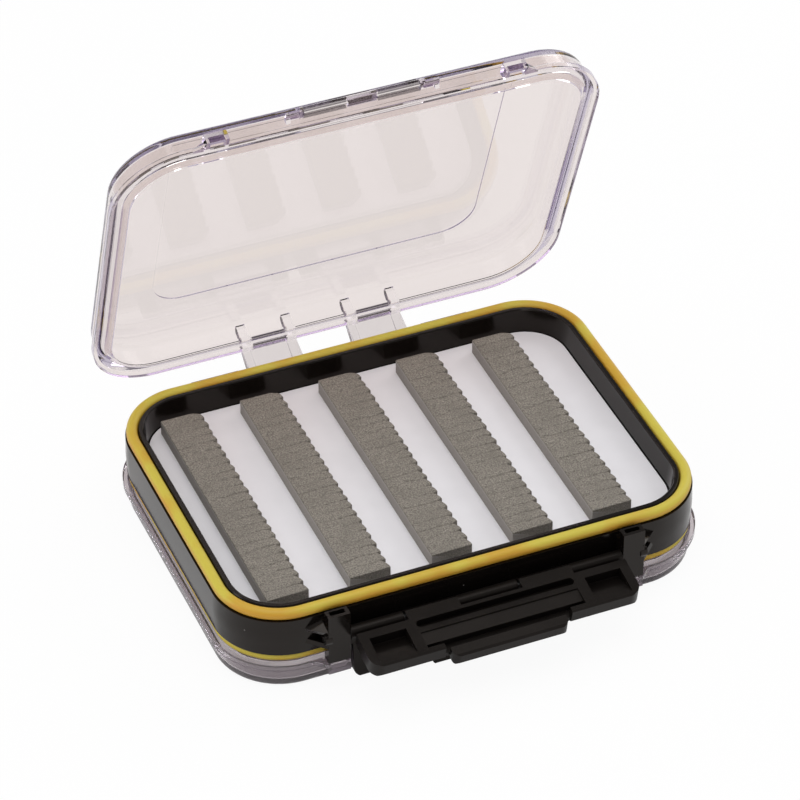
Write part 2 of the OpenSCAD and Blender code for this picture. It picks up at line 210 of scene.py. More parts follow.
@dataclass
class Wiring:
    """A node tree and short ways to add nodes to it."""

    tree: bpy.types.NodeTree

    def add(self, kind: str, settings: dict | None = None, **inputs: object) -> bpy.types.Node:
        """Adds a node, sets its properties and fills its inputs.

        Args:
            kind: The node's type.
            settings: Properties of the node.
            **inputs: Inputs by name, with _ for a space: a number, colour or output socket.

        Returns:
            The new node.
        """
        node = self.tree.nodes.new(kind)
        for key, value in (settings or {}).items():
            setattr(node, key, value)
        for key, value in inputs.items():
            self.fill(node.inputs[key.replace("_", " ")], value)
        return node

    def fill(self, socket: bpy.types.NodeSocket, value: object) -> None:
        """Links an output to a socket, or sets the socket's plain value.

        Args:
            socket: The input to fill.
            value: An output socket, or a number or colour.
        """
        if isinstance(value, bpy.types.NodeSocket):
            self.tree.links.new(value, socket)
        else:
            socket.default_value = value

    def filled(self, node: bpy.types.Node, *values: tuple[int, object]) -> bpy.types.Node:
        """Fills a node's inputs by number.

        Args:
            node: The node.
            *values: Pairs of an input's number and its value.

        Returns:
            The node.
        """
        for index, value in values:
            self.fill(node.inputs[index], value)
        return node

    def here(self, kind: str = "Object") -> bpy.types.NodeSocket:
        """Reads a texture coordinate, by default the place in the object's own frame."""
        return self.add("ShaderNodeTexCoord").outputs[kind]

    def axes(self, vector: bpy.types.NodeSocket) -> bpy.types.bpy_prop_collection:
        """Splits a vector into outputs X, Y and Z."""
        return self.add("ShaderNodeSeparateXYZ", Vector=vector).outputs

    def maths(self, operation: str, *values: object, clamp: bool = False) -> bpy.types.NodeSocket:
        """Works out one to three values, held between 0 and 1 where clamp is true."""
        node = self.add("ShaderNodeMath", {"operation": operation, "use_clamp": clamp})
        return self.filled(node, *enumerate(values)).outputs[0]

    def blend(self, share: object, first: object, second: object) -> bpy.types.NodeSocket:
        """Mixes two colours by the share of the second."""
        node = self.add("ShaderNodeMix", {"data_type": "RGBA"})
        return self.filled(node, (0, share), (6, first), (7, second)).outputs[2]

    def mix_shaders(self, share: object, first: bpy.types.Node,
                    second: bpy.types.Node) -> bpy.types.NodeSocket:
        """Mixes the shaders of two nodes by the share of the second."""
        shaders = enumerate((share, first.outputs[0], second.outputs[0]))
        return self.filled(self.add("ShaderNodeMixShader"), *shaders).outputs[0]

    def ramp(self, value: object, low: float, high: float, start: object = 0.0,
             end: object = 1.0) -> bpy.types.NodeSocket:
        """Maps a value from the range low to high to start to end, held at both ends."""
        return self.add("ShaderNodeMapRange", Value=value, From_Min=low, From_Max=high,
                        To_Min=start, To_Max=end).outputs[0]

    def noise(self, where: object, scale: object, detail: float = 2.0,
              rough: float = 0.5) -> bpy.types.NodeSocket:
        """Reads a noise of so many waves per metre, with so many finer layers."""
        return self.add("ShaderNodeTexNoise", Vector=where, Scale=scale, Detail=detail,
                        Roughness=rough).outputs[0]

    def inside(self, place: list[bpy.types.NodeSocket], *spans: Span) -> bpy.types.NodeSocket:
        """Marks what lies in a box, with an edge of a tenth of a millimetre to either side.

        Args:
            place: The place along each of the box's axes.
            *spans: The box's lower and upper end on each axis.

        Returns:
            The mask, which is 1 in the box.
        """
        mask, blur = None, 0.1 * MM
        for value, (low, high) in zip(place, spans):
            for edge, start, end in ((low, 0.0, 1.0), (high, 1.0, 0.0)):
                part = self.ramp(value, edge - blur, edge + blur, start, end)
                mask = part if mask is None else self.maths("MULTIPLY", mask, part)
        return mask


def new_group(name: str, inputs: dict[str, float], outputs: list[str]) -> Wiring:
    """Starts a shader node group whose sockets are all plain numbers.

    Args:
        name: The group's name.
        inputs: Each input's name and usual value.
        outputs: Each output's name.

    Returns:
        The group's wiring, with its input node called in and its output node called out.
    """
    tree = bpy.data.node_groups.new(name, "ShaderNodeTree")
    for key, value in inputs.items():
        made = tree.interface.new_socket(key, in_out="INPUT", socket_type="NodeSocketFloat")
        made.default_value = value
    for key in outputs:
        tree.interface.new_socket(key, in_out="OUTPUT", socket_type="NodeSocketFloat")
    tree.nodes.new("NodeGroupInput").name = "in"
    tree.nodes.new("NodeGroupOutput").name = "out"
    return Wiring(tree)


def grain_group() -> bpy.types.NodeTree:
    """Builds the fine grain of a moulded surface.

    The height is a fine noise plus half a broad one, as spark-eroded tools leave it. The
    polish and the shade both follow the broad noise, so some places are a little shinier.

    Returns:
        The group, with Scale in grains per metre, and Unevenness from 0 to 1.
    """
    wire = new_group("moulded grain", {"Scale": 5000.0, "Unevenness": 0.5},
                     ["Height", "Polish", "Shade"])
    given, out = wire.tree.nodes["in"].outputs, wire.tree.nodes["out"]
    where = wire.here()
    fine = wire.noise(where, given["Scale"], 2.0, 0.6)
    broad = wire.noise(where, wire.maths("MULTIPLY", given["Scale"], 0.035), 3.0)
    height = wire.maths("ADD", fine, wire.maths("MULTIPLY", broad, 0.5))
    swing = wire.maths("MULTIPLY", wire.maths("SUBTRACT", broad, 0.5), given["Unevenness"])
    wire.fill(out.inputs["Height"], height)
    wire.fill(out.inputs["Polish"], wire.maths("ADD", wire.maths("MULTIPLY", swing, 0.5), 0.5))
    wire.fill(out.inputs["Shade"], wire.maths("ADD", swing, 1.0))
    return wire.tree


def speck_group() -> bpy.types.NodeTree:
    """Builds sparse round specks, such as lint and dust.

    Each cell of a cellular pattern holds one speck where its random value passes the limit.

    Returns:
        The group, with Scale in cells per metre, Limit from 0 to 1, Size as a share of a
        cell, and a mask as output.
    """
    wire = new_group("dust specks", {"Scale": 900.0, "Limit": 0.9, "Size": 0.18}, ["Mask"])
    given, out = wire.tree.nodes["in"].outputs, wire.tree.nodes["out"]
    cells = wire.add("ShaderNodeTexVoronoi", Vector=wire.here(), Scale=given["Scale"])
    chance = wire.add("ShaderNodeSeparateColor", Color=cells.outputs["Color"]).outputs[0]
    there = wire.maths("GREATER_THAN", chance, given["Limit"])
    near = wire.maths("LESS_THAN", cells.outputs["Distance"], given["Size"])
    wire.fill(out.inputs["Mask"], wire.maths("MULTIPLY", there, near))
    return wire.tree


def scaled(colour: Colour, factor: float = 1.0) -> tuple[float, float, float, float]:
    """Multiplies a colour by a factor and adds its alpha of 1."""
    return (*(min(1.0, c * factor) for c in colour), 1.0)


@dataclass(frozen=True)
class Grain:
    """A moulded grain: grains per metre, unevenness from 0 to 1, and depth in metres."""

    scale: float
    unevenness: float
    depth: float


@dataclass(frozen=True)
class Specks:
    """Specks of one kind: values for the shared group, and their share of the colour."""

    scale: float
    limit: float
    size: float
    share: float
    colour: Colour


@dataclass
class Groups:
    """The node groups that the finishes share."""

    grain: bpy.types.NodeTree = field(default_factory=grain_group)
    specks: bpy.types.NodeTree = field(default_factory=speck_group)

    def coat(self, name: str) -> "Coat":
        """Starts a material with one Principled shader on its output.

        Args:
            name: The material's name.

        Returns:
            The material as a coat.
        """
        material = bpy.data.materials.new(name)
        material.use_nodes = True
        tree = material.node_tree
        shader = next(n for n in tree.nodes if n.type == "BSDF_PRINCIPLED")
        return Coat(tree, material, shader, self)


@dataclass
class Coat(Wiring):
    """A material on its way, with its shader and the steps that several finishes share."""

    material: bpy.types.Material
    shader: bpy.types.Node
    groups: Groups

    def set(self, **values: object) -> None:
        """Fills inputs of the shader by name, with _ for a space. A number stays plain."""
        for key, value in values.items():
            self.fill(self.shader.inputs[key.replace("_", " ")], value)

    def place(self, group: bpy.types.NodeTree, **inputs: object) -> bpy.types.Node:
        """Places a shared group with its own values."""
        return self.add("ShaderNodeGroup", {"node_tree": group}, **inputs)

    def bump(self, height: object, depth: float) -> None:
        """Lets a height in units of depth, in metres, feed the shader's normal."""
        node = self.add("ShaderNodeBump", Height=height, Distance=depth, Strength=1.0)
        self.set(Normal=node.outputs[0])

    def grained(self, grain: Grain, rough: Span, frost: object = 0.0) -> bpy.types.Node:
        """Lets a grain set the shader's roughness and normal.

        Args:
            grain: The grain.
            rough: The roughness where the polish is low and where it is high.
            frost: Roughness that is added.

        Returns:
            The grain's node.
        """
        node = self.place(self.groups.grain, Scale=grain.scale, Unevenness=grain.unevenness)
        polish = self.ramp(node.outputs["Polish"], *MOST_NOISE, *rough)
        self.set(Roughness=self.maths("ADD", polish, frost))
        self.bump(node.outputs["Height"], grain.depth)
        return node

    def shaded(self, grain: bpy.types.Node, swing: float, colour: Colour,
               factors: Span) -> bpy.types.NodeSocket:
        """Lets the grain's shade, from 1 - swing to 1 + swing, scale a colour by factors."""
        share = self.ramp(grain.outputs["Shade"], 1.0 - swing, 1.0 + swing)
        return self.blend(share, scaled(colour, factors[0]), scaled(colour, factors[1]))

    def specked(self, tone: bpy.types.NodeSocket, specks: Specks) -> bpy.types.NodeSocket:
        """Strews specks of one kind on a colour."""
        node = self.place(self.groups.specks, Scale=specks.scale, Limit=specks.limit,
                          Size=specks.size)
        return self.blend(self.maths("MULTIPLY", node.outputs["Mask"], specks.share), tone,
                          scaled(specks.colour))


# ---- finishes ----

@dataclass(frozen=True)
class Finish:
    """A finish under its material's name."""

    name: str

    def lay(self, coat: Coat) -> None:
        """Lays the finish on a bare coat. Each kind of finish has its own way."""
        raise NotImplementedError

    def material(self, shared: Groups) -> bpy.types.Material:
        """Builds the finish's material.

        Args:
            shared: The shared groups.

        Returns:
            The material.
        """
        coat = shared.coat(self.name)
        self.lay(coat)
        return coat.material


@dataclass(frozen=True)
class BlackPlastic(Finish):
    """Satin black moulding compound.

    Gloss is the specular level, and gloss_tint the colour of mirror reflections. The
    roughness goes a fifth to either side.
    """

    colour: Colour
    roughness: float
    gloss: float
    grain: Grain
    gloss_tint: Colour = (1.0, 0.90, 0.83)
    lint: Specks = Specks(420.0, 0.985, 0.09, 0.3, (0.35, 0.34, 0.33))

    def lay(self, coat: Coat) -> None:
        """Lays a fine grain, slow changes of polish, and a little lint.

        Args:
            coat: The material.
        """
        rough = (self.roughness * 0.8, self.roughness * 1.2)
        grain = coat.grained(self.grain, rough)
        tone = coat.shaded(grain, 0.15, self.colour, (0.82, 1.18))
        coat.set(Base_Color=coat.specked(tone, self.lint), Specular_IOR_Level=self.gloss,
                 Specular_Tint=scaled(self.gloss_tint))


@dataclass(frozen=True)
class SealRubber(Finish):
    """Yellow silicone cord, up to most_warm warmer in painted shade underneath and in blotches
    per metre.
    """

    name: str = "yellow seal rubber"
    bright: Colour = (0.570, 0.480, 0.064)
    warm: Colour = (0.56, 0.30, 0.028)
    most_warm: float = 0.75
    blotches: float = 55.0
    roughness: Span = (0.37, 0.49)
    gloss: float = 0.32
    grain: Grain = Grain(2600.0, 0.9, 0.02 * MM)

    def lay(self, coat: Coat) -> None:
        """Lays a slow change of hue on a finely grained skin.

        Underneath, the warm tone is painted shade. The lower cord is seen through the lid, and
        its underside has a fifth of that painted shade.

        Args:
            coat: The material.
        """
        coat.grained(self.grain, self.roughness)
        where = coat.here()
        up = coat.axes(coat.add("ShaderNodeNewGeometry").outputs["Normal"])["Z"]
        # Painted shade: the cord turns warmer where it faces down, on the lower cord a fifth as
        # much.
        under = coat.maths("MULTIPLY", coat.ramp(up, 0.1, 0.75, self.most_warm, 0.0),
                           coat.ramp(coat.axes(where)["Z"], MID_Z - 2 * MM, MID_Z + 2 * MM,
                                     0.2, 1.0))
        blotch = coat.ramp(coat.noise(where, self.blotches), 0.44, 0.60, 0.0, self.most_warm)
        share = coat.maths("ADD", under, blotch, clamp=True)
        coat.set(Base_Color=coat.blend(share, scaled(self.bright), scaled(self.warm)),
                 Specular_IOR_Level=self.gloss)


@dataclass(frozen=True)
class WhiteSheet(Finish):
    """Thin white sheet on the floor."""

    name: str = "white floor sheet"
    colour: Colour = (0.828, 0.822, 0.850)
    roughness: Span = (0.5, 0.62)
    gloss: float = 0.35
    grain: Grain = Grain(3500.0, 0.3, 0.015 * MM)
    dust: Specks = Specks(130.0, 0.93, 0.05, 0.5, (0.3, 0.29, 0.3))

    def lay(self, coat: Coat) -> None:
        """Lays a matt skin with a faint cloud and a few specks.

        Args:
            coat: The material.
        """
        grain = coat.grained(self.grain, self.roughness)
        tone = coat.shaded(grain, 0.1, self.colour, (0.97, 1.03))
        coat.set(Base_Color=coat.specked(tone, self.dust), Specular_IOR_Level=self.gloss)


@dataclass(frozen=True)
class GreyFoam(Finish):
    """Closed-cell foam: matt, mottled, with cut cells and a few light flecks.

    The cells, the mottle, the clouds and the patches in which slits show painted shade are given
    per metre. Skin is the colour of the uncut left side, painted lighter as the side is lit from
    the left, and the bead on it is lighter still, a painted highlight.
    """

    name: str = "grey slit foam"
    light: Colour = (0.330, 0.303, 0.262)
    dark: Colour = (0.128, 0.116, 0.100)
    skin: Colour = (0.320, 0.298, 0.280)
    gloss: float = 0.25
    cells: float = 4200.0
    mottle: float = 2500.0
    clouds: float = 170.0
    patches: float = 420.0
    depth: float = 0.12 * MM
    flecks: Specks = Specks(1700.0, 0.965, 0.3, 0.35, (0.50, 0.46, 0.42))

    def marked(self, coat: Coat, tone: bpy.types.NodeSocket) -> bpy.types.NodeSocket:
        """Paints shade into the slits, light on the left side and a highlight on its bead.

        Args:
            coat: The material.
            tone: The foam's colour.

        Returns:
            The colour with its marks.
        """
        # Painted shade in the slits, in patches.
        slit_shade_share = coat.ramp(coat.noise(coat.here(), self.patches), 0.38, 0.62, 0.0, 0.15)
        # The left side is painted lighter, and the bead on it gets a painted highlight.
        for name, share, colour in (("slit", slit_shade_share, scaled(self.dark, 0.72)),
                                    ("skin", 0.8, scaled(self.skin)),
                                    ("line", 0.7, scaled(self.skin, 1.5))):
            mark = coat.add("ShaderNodeAttribute", {"attribute_name": name}).outputs["Fac"]
            tone = coat.blend(coat.maths("MULTIPLY", mark, share), tone, colour)
        return tone

    def lay(self, coat: Coat) -> None:
        """Lays cells as fine pits, a cloudy tone, painted shade and light marks, and pale flecks.

        Args:
            coat: The material.
        """
        where = coat.here()
        cells = coat.add("ShaderNodeTexVoronoi", Vector=where, Scale=self.cells)
        mottle = coat.noise(where, self.mottle, 3.0, 0.75)
        cloud = coat.noise(where, self.clouds, 3.0)
        tone = coat.blend(coat.ramp(mottle, 0.36, 0.64), scaled(self.dark), scaled(self.light))
        tone = coat.blend(coat.ramp(cloud, 0.42, 0.7, 0.0, 0.3), tone, scaled(self.dark, 1.15))
        tone = coat.specked(self.marked(coat, tone), self.flecks)
        coat.set(Base_Color=tone, Roughness=coat.ramp(mottle, *MOST_NOISE, 0.96, 0.84),
                 Specular_IOR_Level=self.gloss)
        pits = coat.maths("ADD", coat.maths("MULTIPLY", cells.outputs["Distance"], 0.6), mottle)
        coat.bump(pits, self.depth)


@dataclass(frozen=True)
class ClearPlastic(Finish):
    """Clear moulded lid: faint warm tint on its faces, violet-grey in its depth.

    The lid of one side stands open by some degrees. Light is tinted where it goes through a
    face, and where it has been thrown about inside, which is far. The arms get a darker tint
    and frost. The cut walls get painted shade, a dark tint that stands in for the dark seen
    through them. Gloss is the strength of mirror reflections, bend the index of refraction,
    and clearness the share that isn't milky. The arms end at arm_reach from the hinge line.
    The cut walls are the slots of the catch bar and the windows between the hinge ribs. They
    lie where the spans say on the shut lid: x from the box's middle, y and z from the hinge
    line.
    """

    side: Side
    opened: float
    window_x: Span
    tint: Colour = (0.835, 0.770, 0.750)
    arm_tint: Colour = (0.72, 0.67, 0.66)
    # Painted shade: the slots and windows are tinted dark, for the dark seen through them.
    cut_painted_shade: Colour = (0.13, 0.118, 0.122)
    far_tint: Colour = (0.70, 0.66, 0.76)
    depth_colour: Colour = (0.46, 0.44, 0.56)
    density: float = 14.0
    gloss: float = 0.30
    bend: float = 1.49
    clearness: float = 1.0
    haze: float = 0.0
    arm_frost: float = 0.18
    arm_reach: float = 8.5 * MM
    window_y: Span = (-4.7 * MM, -0.4 * MM)
    window_z: Span = (8.2 * MM, 9.9 * MM)
    slot_x: Span = (4.1 * MM, 15.4 * MM)
    slot_y: Span = (-98.6 * MM, -96.4 * MM)
    slot_z: Span = (11.3 * MM, 13.2 * MM)
    grain: Grain = Grain(700.0, 0.5, 0.002 * MM)
    most_bounces: float = 3.5

    def shut_place(self, coat: Coat) -> list[bpy.types.NodeSocket]:
        """Turns a place on the lid back about the hinge to where it lies when shut.

        Args:
            coat: The material.

        Returns:
            The distance from the box's middle along X, and y and z from the hinge line.
        """
        spot = coat.axes(coat.here())
        turn = math.radians(self.opened)
        y = coat.maths("SUBTRACT", spot["Y"], HINGE_Y)
        z = coat.maths("MULTIPLY", coat.maths("SUBTRACT", spot["Z"], MID_Z), self.side.value)
        along = coat.maths("SUBTRACT", coat.maths("MULTIPLY", y, math.cos(turn)),
                           coat.maths("MULTIPLY", z, math.sin(turn)))
        above = coat.maths("ADD", coat.maths("MULTIPLY", y, math.sin(turn)),
                           coat.maths("MULTIPLY", z, math.cos(turn)))
        return [coat.maths("ABSOLUTE", spot["X"]), along, above]

    def glass(self, coat: Coat) -> None:
        """Sets the surface: tinted faces, frosted arms, cut walls in painted shade and a faint
        grain.

        Args:
            coat: The material.
        """
        place = self.shut_place(coat)
        reach = coat.maths("SQRT", coat.maths(
            "ADD", *(coat.maths("MULTIPLY", value, value) for value in place[1:])))
        arm = coat.ramp(reach, self.arm_reach - 0.4 * MM, self.arm_reach + 0.4 * MM, 1.0, 0.0)
        # Mask of the painted shade at the slots and windows.
        cut = coat.maths("MAXIMUM",
                         coat.inside(place, self.slot_x, self.slot_y, self.slot_z),
                         coat.inside(place, self.window_x, self.window_y, self.window_z))
        tone = coat.blend(arm, scaled(self.tint), scaled(self.arm_tint))
        coat.grained(self.grain, (self.haze, self.haze + 0.035),
                     coat.maths("MULTIPLY", arm, self.arm_frost))
        coat.set(Base_Color=coat.blend(cut, tone, scaled(self.cut_painted_shade)),
                 Transmission_Weight=self.clearness, IOR=self.bend,
                 Specular_Tint=scaled((1.0, 1.0, 1.0), self.gloss))

    def lay(self, coat: Coat) -> None:
        """Lays glass shading that lets lamps through, with absorption.

        A ray that has been thrown about inside the plastic goes straight on with a violet
        tint, where it would otherwise end as black.

        Args:
            coat: The material.
        """
        self.glass(coat)
        path = coat.add("ShaderNodeLightPath").outputs
        far = coat.maths("GREATER_THAN", path["Ray Depth"], self.most_bounces)
        tone = coat.blend(far, scaled(self.tint, 1.02), scaled(self.far_tint))
        through = coat.add("ShaderNodeBsdfTransparent", Color=tone)
        soft = coat.maths("MAXIMUM", path["Is Shadow Ray"], path["Is Diffuse Ray"])
        mixed = coat.mix_shaders(coat.maths("MAXIMUM", soft, far), coat.shader, through)
        soak = coat.add("ShaderNodeVolumeAbsorption", Color=scaled(self.depth_colour),
                        Density=self.density)
        out = next(n for n in coat.tree.nodes if n.type == "OUTPUT_MATERIAL")
        coat.fill(out.inputs["Surface"], mixed)
        coat.fill(out.inputs["Volume"], soak.outputs[0])


@dataclass(frozen=True)
class DrawnSteel(Finish):
    """Bright drawn wire, with this many lines per metre along and across the pin."""

    name: str = "drawn pin steel"
    colour: Colour = (0.60, 0.60, 0.62)
    lines: Place = (120.0, 9000.0, 9000.0)
    depth: float = 0.006 * MM

    def lay(self, coat: Coat) -> None:
        """Lays lines that run along X, and a slow change of shade.

        Args:
            coat: The material.
        """
        along = coat.add("ShaderNodeMapping", Vector=coat.here(), Scale=self.lines)
        lines = coat.noise(along.outputs[0], 1.0, 3.0)
        grain = coat.place(coat.groups.grain, Scale=1500.0, Unevenness=0.8)
        coat.set(Base_Color=coat.shaded(grain, 0.15, self.colour, (0.85, 1.05)),
                 Metallic=1.0, Roughness=coat.ramp(lines, *MOST_NOISE, 0.22, 0.4))
        coat.bump(lines, self.depth)


# ---- sub-assemblies ----

@dataclass
class Frame:
    """The black frame with its white floor sheets."""

    edge: float = 0.16 * MM

    def build(self, black: bpy.types.Material, white: bpy.types.Material) -> None:
        """Eases and dresses the frame, and dresses the sheets on its floor.

        Args:
            black: The frame's finish.
            white: The sheets' finish.
        """
        piece = moulded_copy("body_frame", "frame_moulding", self.edge)
        dress(piece, black, "base")
        for side in Side:
            dress_node(f"{side.word}_liner", white)


@dataclass
class Seal:
    """A round rubber cord in its seat on the frame's rim.

    Its middle line is half_length by half_width from the box's middle, with corners of radius
    turn, at a height over the middle plane. Straight and corner are the points along a side
    and round a corner, and section those round the cord.
    """

    half_length: float = 61.7 * MM
    half_width: float = 45.0 * MM
    turn: float = 15.5 * MM
    height: float = 6.5 * MM
    radius: float = 1.485 * MM
    swell: float = 0.008 * MM
    straight: int = 40
    corner: int = 28
    section: int = 28
    hard_edge: float = 60.0

    def path(self) -> tuple[np.ndarray, np.ndarray]:
        """Works out the seal's middle line and its outward directions.

        The line is a rounded rectangle. Round each corner, the point is the corner's centre
        plus the radius times the direction (cos t, sin t). Along a side, it goes evenly from
        one corner's end to the next one's start, and the direction stays.

        Returns:
            The points and the directions, each as rows of x and y.
        """
        centre = np.array([self.half_length - self.turn, self.half_width - self.turn])
        signs = np.array([[1, 1], [-1, 1], [-1, -1], [1, -1]])
        turn = (np.arange(4)[:, None] + np.linspace(0, 1, self.corner)) * math.pi / 2
        out = np.stack([np.cos(turn), np.sin(turn)], -1)
        arcs = signs[:, None] * centre + out * self.turn
        share = np.linspace(0, 1, self.straight + 2)[1:-1, None]
        sides = arcs[:, -1:] * (1 - share) + np.roll(arcs, -1, 0)[:, :1] * share
        flat = np.repeat(out[:, -1:], self.straight, 1)
        line = np.concatenate([arcs, sides], 1).reshape(-1, 2)
        return line, np.concatenate([out, flat], 1).reshape(-1, 2)

    def build(self, side: Side, rubber: bpy.types.Material) -> None:
        """Sweeps the cord's section round the path.

        A point is the middle line plus radius times (direction times cos a, sin a). Two sines
        of 7 and 17 waves thin the radius by up to four times swell along the way, as soft
        rubber does in its seat.

        Args:
            side: The side of the box.
            rubber: The finish.
        """
        line, out = self.path()
        step = np.linalg.norm(np.roll(line, -1, 0) - line, axis=1)
        along = np.concatenate([[0], np.cumsum(step)[:-1]]) / step.sum() * 2 * math.pi
        radius = self.radius + self.swell * (np.sin(7 * along) + np.sin(17 * along + 1) - 2)
        a = np.linspace(0, 2 * math.pi, self.section, endpoint=False)[None, :, None]
        flat = line[:, None] + radius[:, None, None] * np.cos(a) * out[:, None]
        rise = self.height + radius[:, None, None] * np.sin(a)
        points = side.place(np.concatenate([flat, rise], -1).reshape(-1, 3))
        name = f"{side.word}_seal_cord"
        mesh = bpy.data.meshes.new(name)
        mesh.from_pydata(points, [], grid_faces(len(line), self.section, True)[:, ::-1])
        piece = link_piece(name, mesh, self.hard_edge)
        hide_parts(f"{side.word}_gasket")
        dress(piece, rubber, "base")


@dataclass
class FoamRow:
    """The five strips of slit foam on one side of the floor.

    The strips stand on their foot over the middle plane, a pitch apart, and the row is
    shifted to the left. Each strip is slit into leaves. A leaf's tip lies at tip across it,
    and the notch beside it is up to notch deep.
    """

    count: int = 5
    width: float = 11.0 * MM
    length: float = 74.4 * MM
    height: float = 4.35 * MM
    foot: float = 1.1 * MM
    pitch: float = 21.6 * MM
    shift: float = 3.6 * MM
    leaves: int = 24
    tip: float = 0.085
    notch: float = 1.3 * MM
    end_cut: Span = (1.25 * MM, 1.5 * MM)      # along and across the cut corner at the end
    edge: float = 0.3 * MM
    slit_depth: float = 0.16 * MM
    bulge: float = 0.2 * MM
    hard_edge: float = 42.0
    leaf: np.ndarray = field(init=False)
    share: np.ndarray = field(init=False)

    def __post_init__(self) -> None:
        """Lists the sections along a strip.

        Each has the number of its leaf, and its share of the way across that leaf from 0 to
        1. They are dense at the slits.
        """
        within = np.array([0.0, 0.012, 0.03, 0.055, 0.085, 0.13, 0.22, 0.36, 0.5, 0.64, 0.78,
                           0.88, 0.94, 0.97, 0.988])
        leaf = np.repeat(np.arange(self.leaves), len(within))
        self.leaf = np.append(leaf, self.leaves - 1)
        self.share = np.append(np.tile(within, self.leaves), 1.0)

    def teeth(self, rng: np.random.Generator) -> np.ndarray:
        """Works out how far each section reaches to the right.

        Each leaf has a tip near its front and falls back from it as a power of the distance,
        which gives the row its saw teeth. The corner at the far end is cut off.

        Args:
            rng: Source of the small differences from leaf to leaf.

        Returns:
            The x of the right side at each section.
        """
        back = np.where(self.share < self.tip, (1 - self.share / self.tip) * 0.9,
                        ((self.share - self.tip) / (1 - self.tip)).clip(0, 1) ** 1.5)
        depth = self.notch * rng.uniform(0.65, 1.0, self.leaves)[self.leaf]
        short = rng.uniform(0, 0.22 * MM, self.leaves)[self.leaf]
        right = self.width / 2 - 0.02 * MM - depth * back - short
        y = (self.leaf + self.share) / self.leaves * self.length
        along, across = self.end_cut
        return right - across * ((y - self.length + along) / along).clip(0, 1)

    def outline(self, right: np.ndarray) -> tuple[np.ndarray, np.ndarray]:
        """Works out each section's loop in the x-z plane.

        The left side goes up with a fine bead near its top, the top runs across with edges
        that are quarter circles, (sin t, cos t), and the right side goes down.

        Args:
            right: The x of the right side at each section.

        Returns:
            The x and z of every loop point, one row for each section.
        """
        top, edge, near = self.height, self.edge, self.edge * 0.7
        turn = np.linspace(0, math.pi / 2, 6)
        bead_x = np.array([0, 0, 0, 0.05, 0.07, 0.05, 0]) * MM
        left_z = np.array([0, 0.5 * top, top - 1.05 * MM, top - 0.85 * MM, top - 0.78 * MM,
                           top - 0.7 * MM, top - 0.6 * MM])
        start = -self.width / 2 + 0.08 * MM
        fixed_x = np.concatenate([start - bead_x, start + near * (1 - np.cos(turn))])
        fixed_z = np.concatenate([left_z, top - near + near * np.sin(turn)])
        across = np.linspace(0, 1, 44)[1:-1]
        span_x = fixed_x[-1] + across * (right[:, None] - edge - fixed_x[-1])
        end_x = right[:, None] - edge + edge * np.sin(turn)
        end_z = top - edge + edge * np.cos(turn)
        down_z = np.array([0.6, 0.3, 0.0]) * top
        x = np.concatenate([np.tile(fixed_x, (len(right), 1)), span_x, end_x,
                            np.tile(right[:, None], (1, 3))], 1)
        z = np.concatenate([fixed_z, np.full(len(across), top), end_z, down_z])
        return x, np.tile(z, (len(right), 1))

    def waves(self, u: np.ndarray, rng: np.random.Generator) -> np.ndarray:
        """Works out how far the wavy slits move each point along the strip.

        Every slit is a sum of three sines of x with random heights, and the points between
        two slits move by a mix of both.

        Args:
            u: The x of every point in widths of the strip.
            rng: Source of the heights.

        Returns:
            The move of every point in metres.
        """
        heights = rng.normal(0, 1, (3, self.leaves + 1))
        heights[:, [0, -1]] = 0.0
        share = self.share[:, None]
        mix = (1 - share) * heights[:, self.leaf].T + share * heights[:, self.leaf + 1].T
        tones = np.stack([np.sin(5.1 * u + 1), np.sin(11.3 * u + 2), np.sin(23.0 * u)], -1)
        return (tones * mix[:, None] * np.array([0.16, 0.11, 0.06])).sum(-1) * MM

    def slits(self, u: np.ndarray) -> np.ndarray:
        """Marks the slits, for their depth and their painted shade: a sharp bell of the distance,
        weaker away from the teeth.

        Args:
            u: The x of every point in widths of the strip.

        Returns:
            How far every point lies in a slit, from 0 to 1.
        """
        slit = np.exp(-(np.minimum(self.share, 1 - self.share) / 0.03) ** 2)
        slit[[0, -1]] = 0.0
        return slit[:, None] * (0.12 + 0.88 * ((u + 0.2) / 0.65).clip(0, 1) ** 1.6)

    def mark(self, piece: bpy.types.Object, slit: np.ndarray) -> None:
        """Stores what the finish reads: the slits for painted shade, the left side for painted
        light, and the bead on it for a painted highlight.

        Args:
            piece: The strip.
            slit: The mask of the slits, one row for each section.
        """
        skin, line = np.zeros_like(slit), np.zeros_like(slit)
        # The left side takes painted light, and the bead on it a painted highlight.
        skin[:, :7] = 1.0
        line[:, 3:6] = np.array([0.4, 1.0, 0.4])
        for label, values in (("slit", slit), ("skin", skin), ("line", line)):
            mark = piece.data.attributes.new(label, "FLOAT", "POINT")
            mark.data.foreach_set("value", np.append(values.ravel(), [0, 0]))

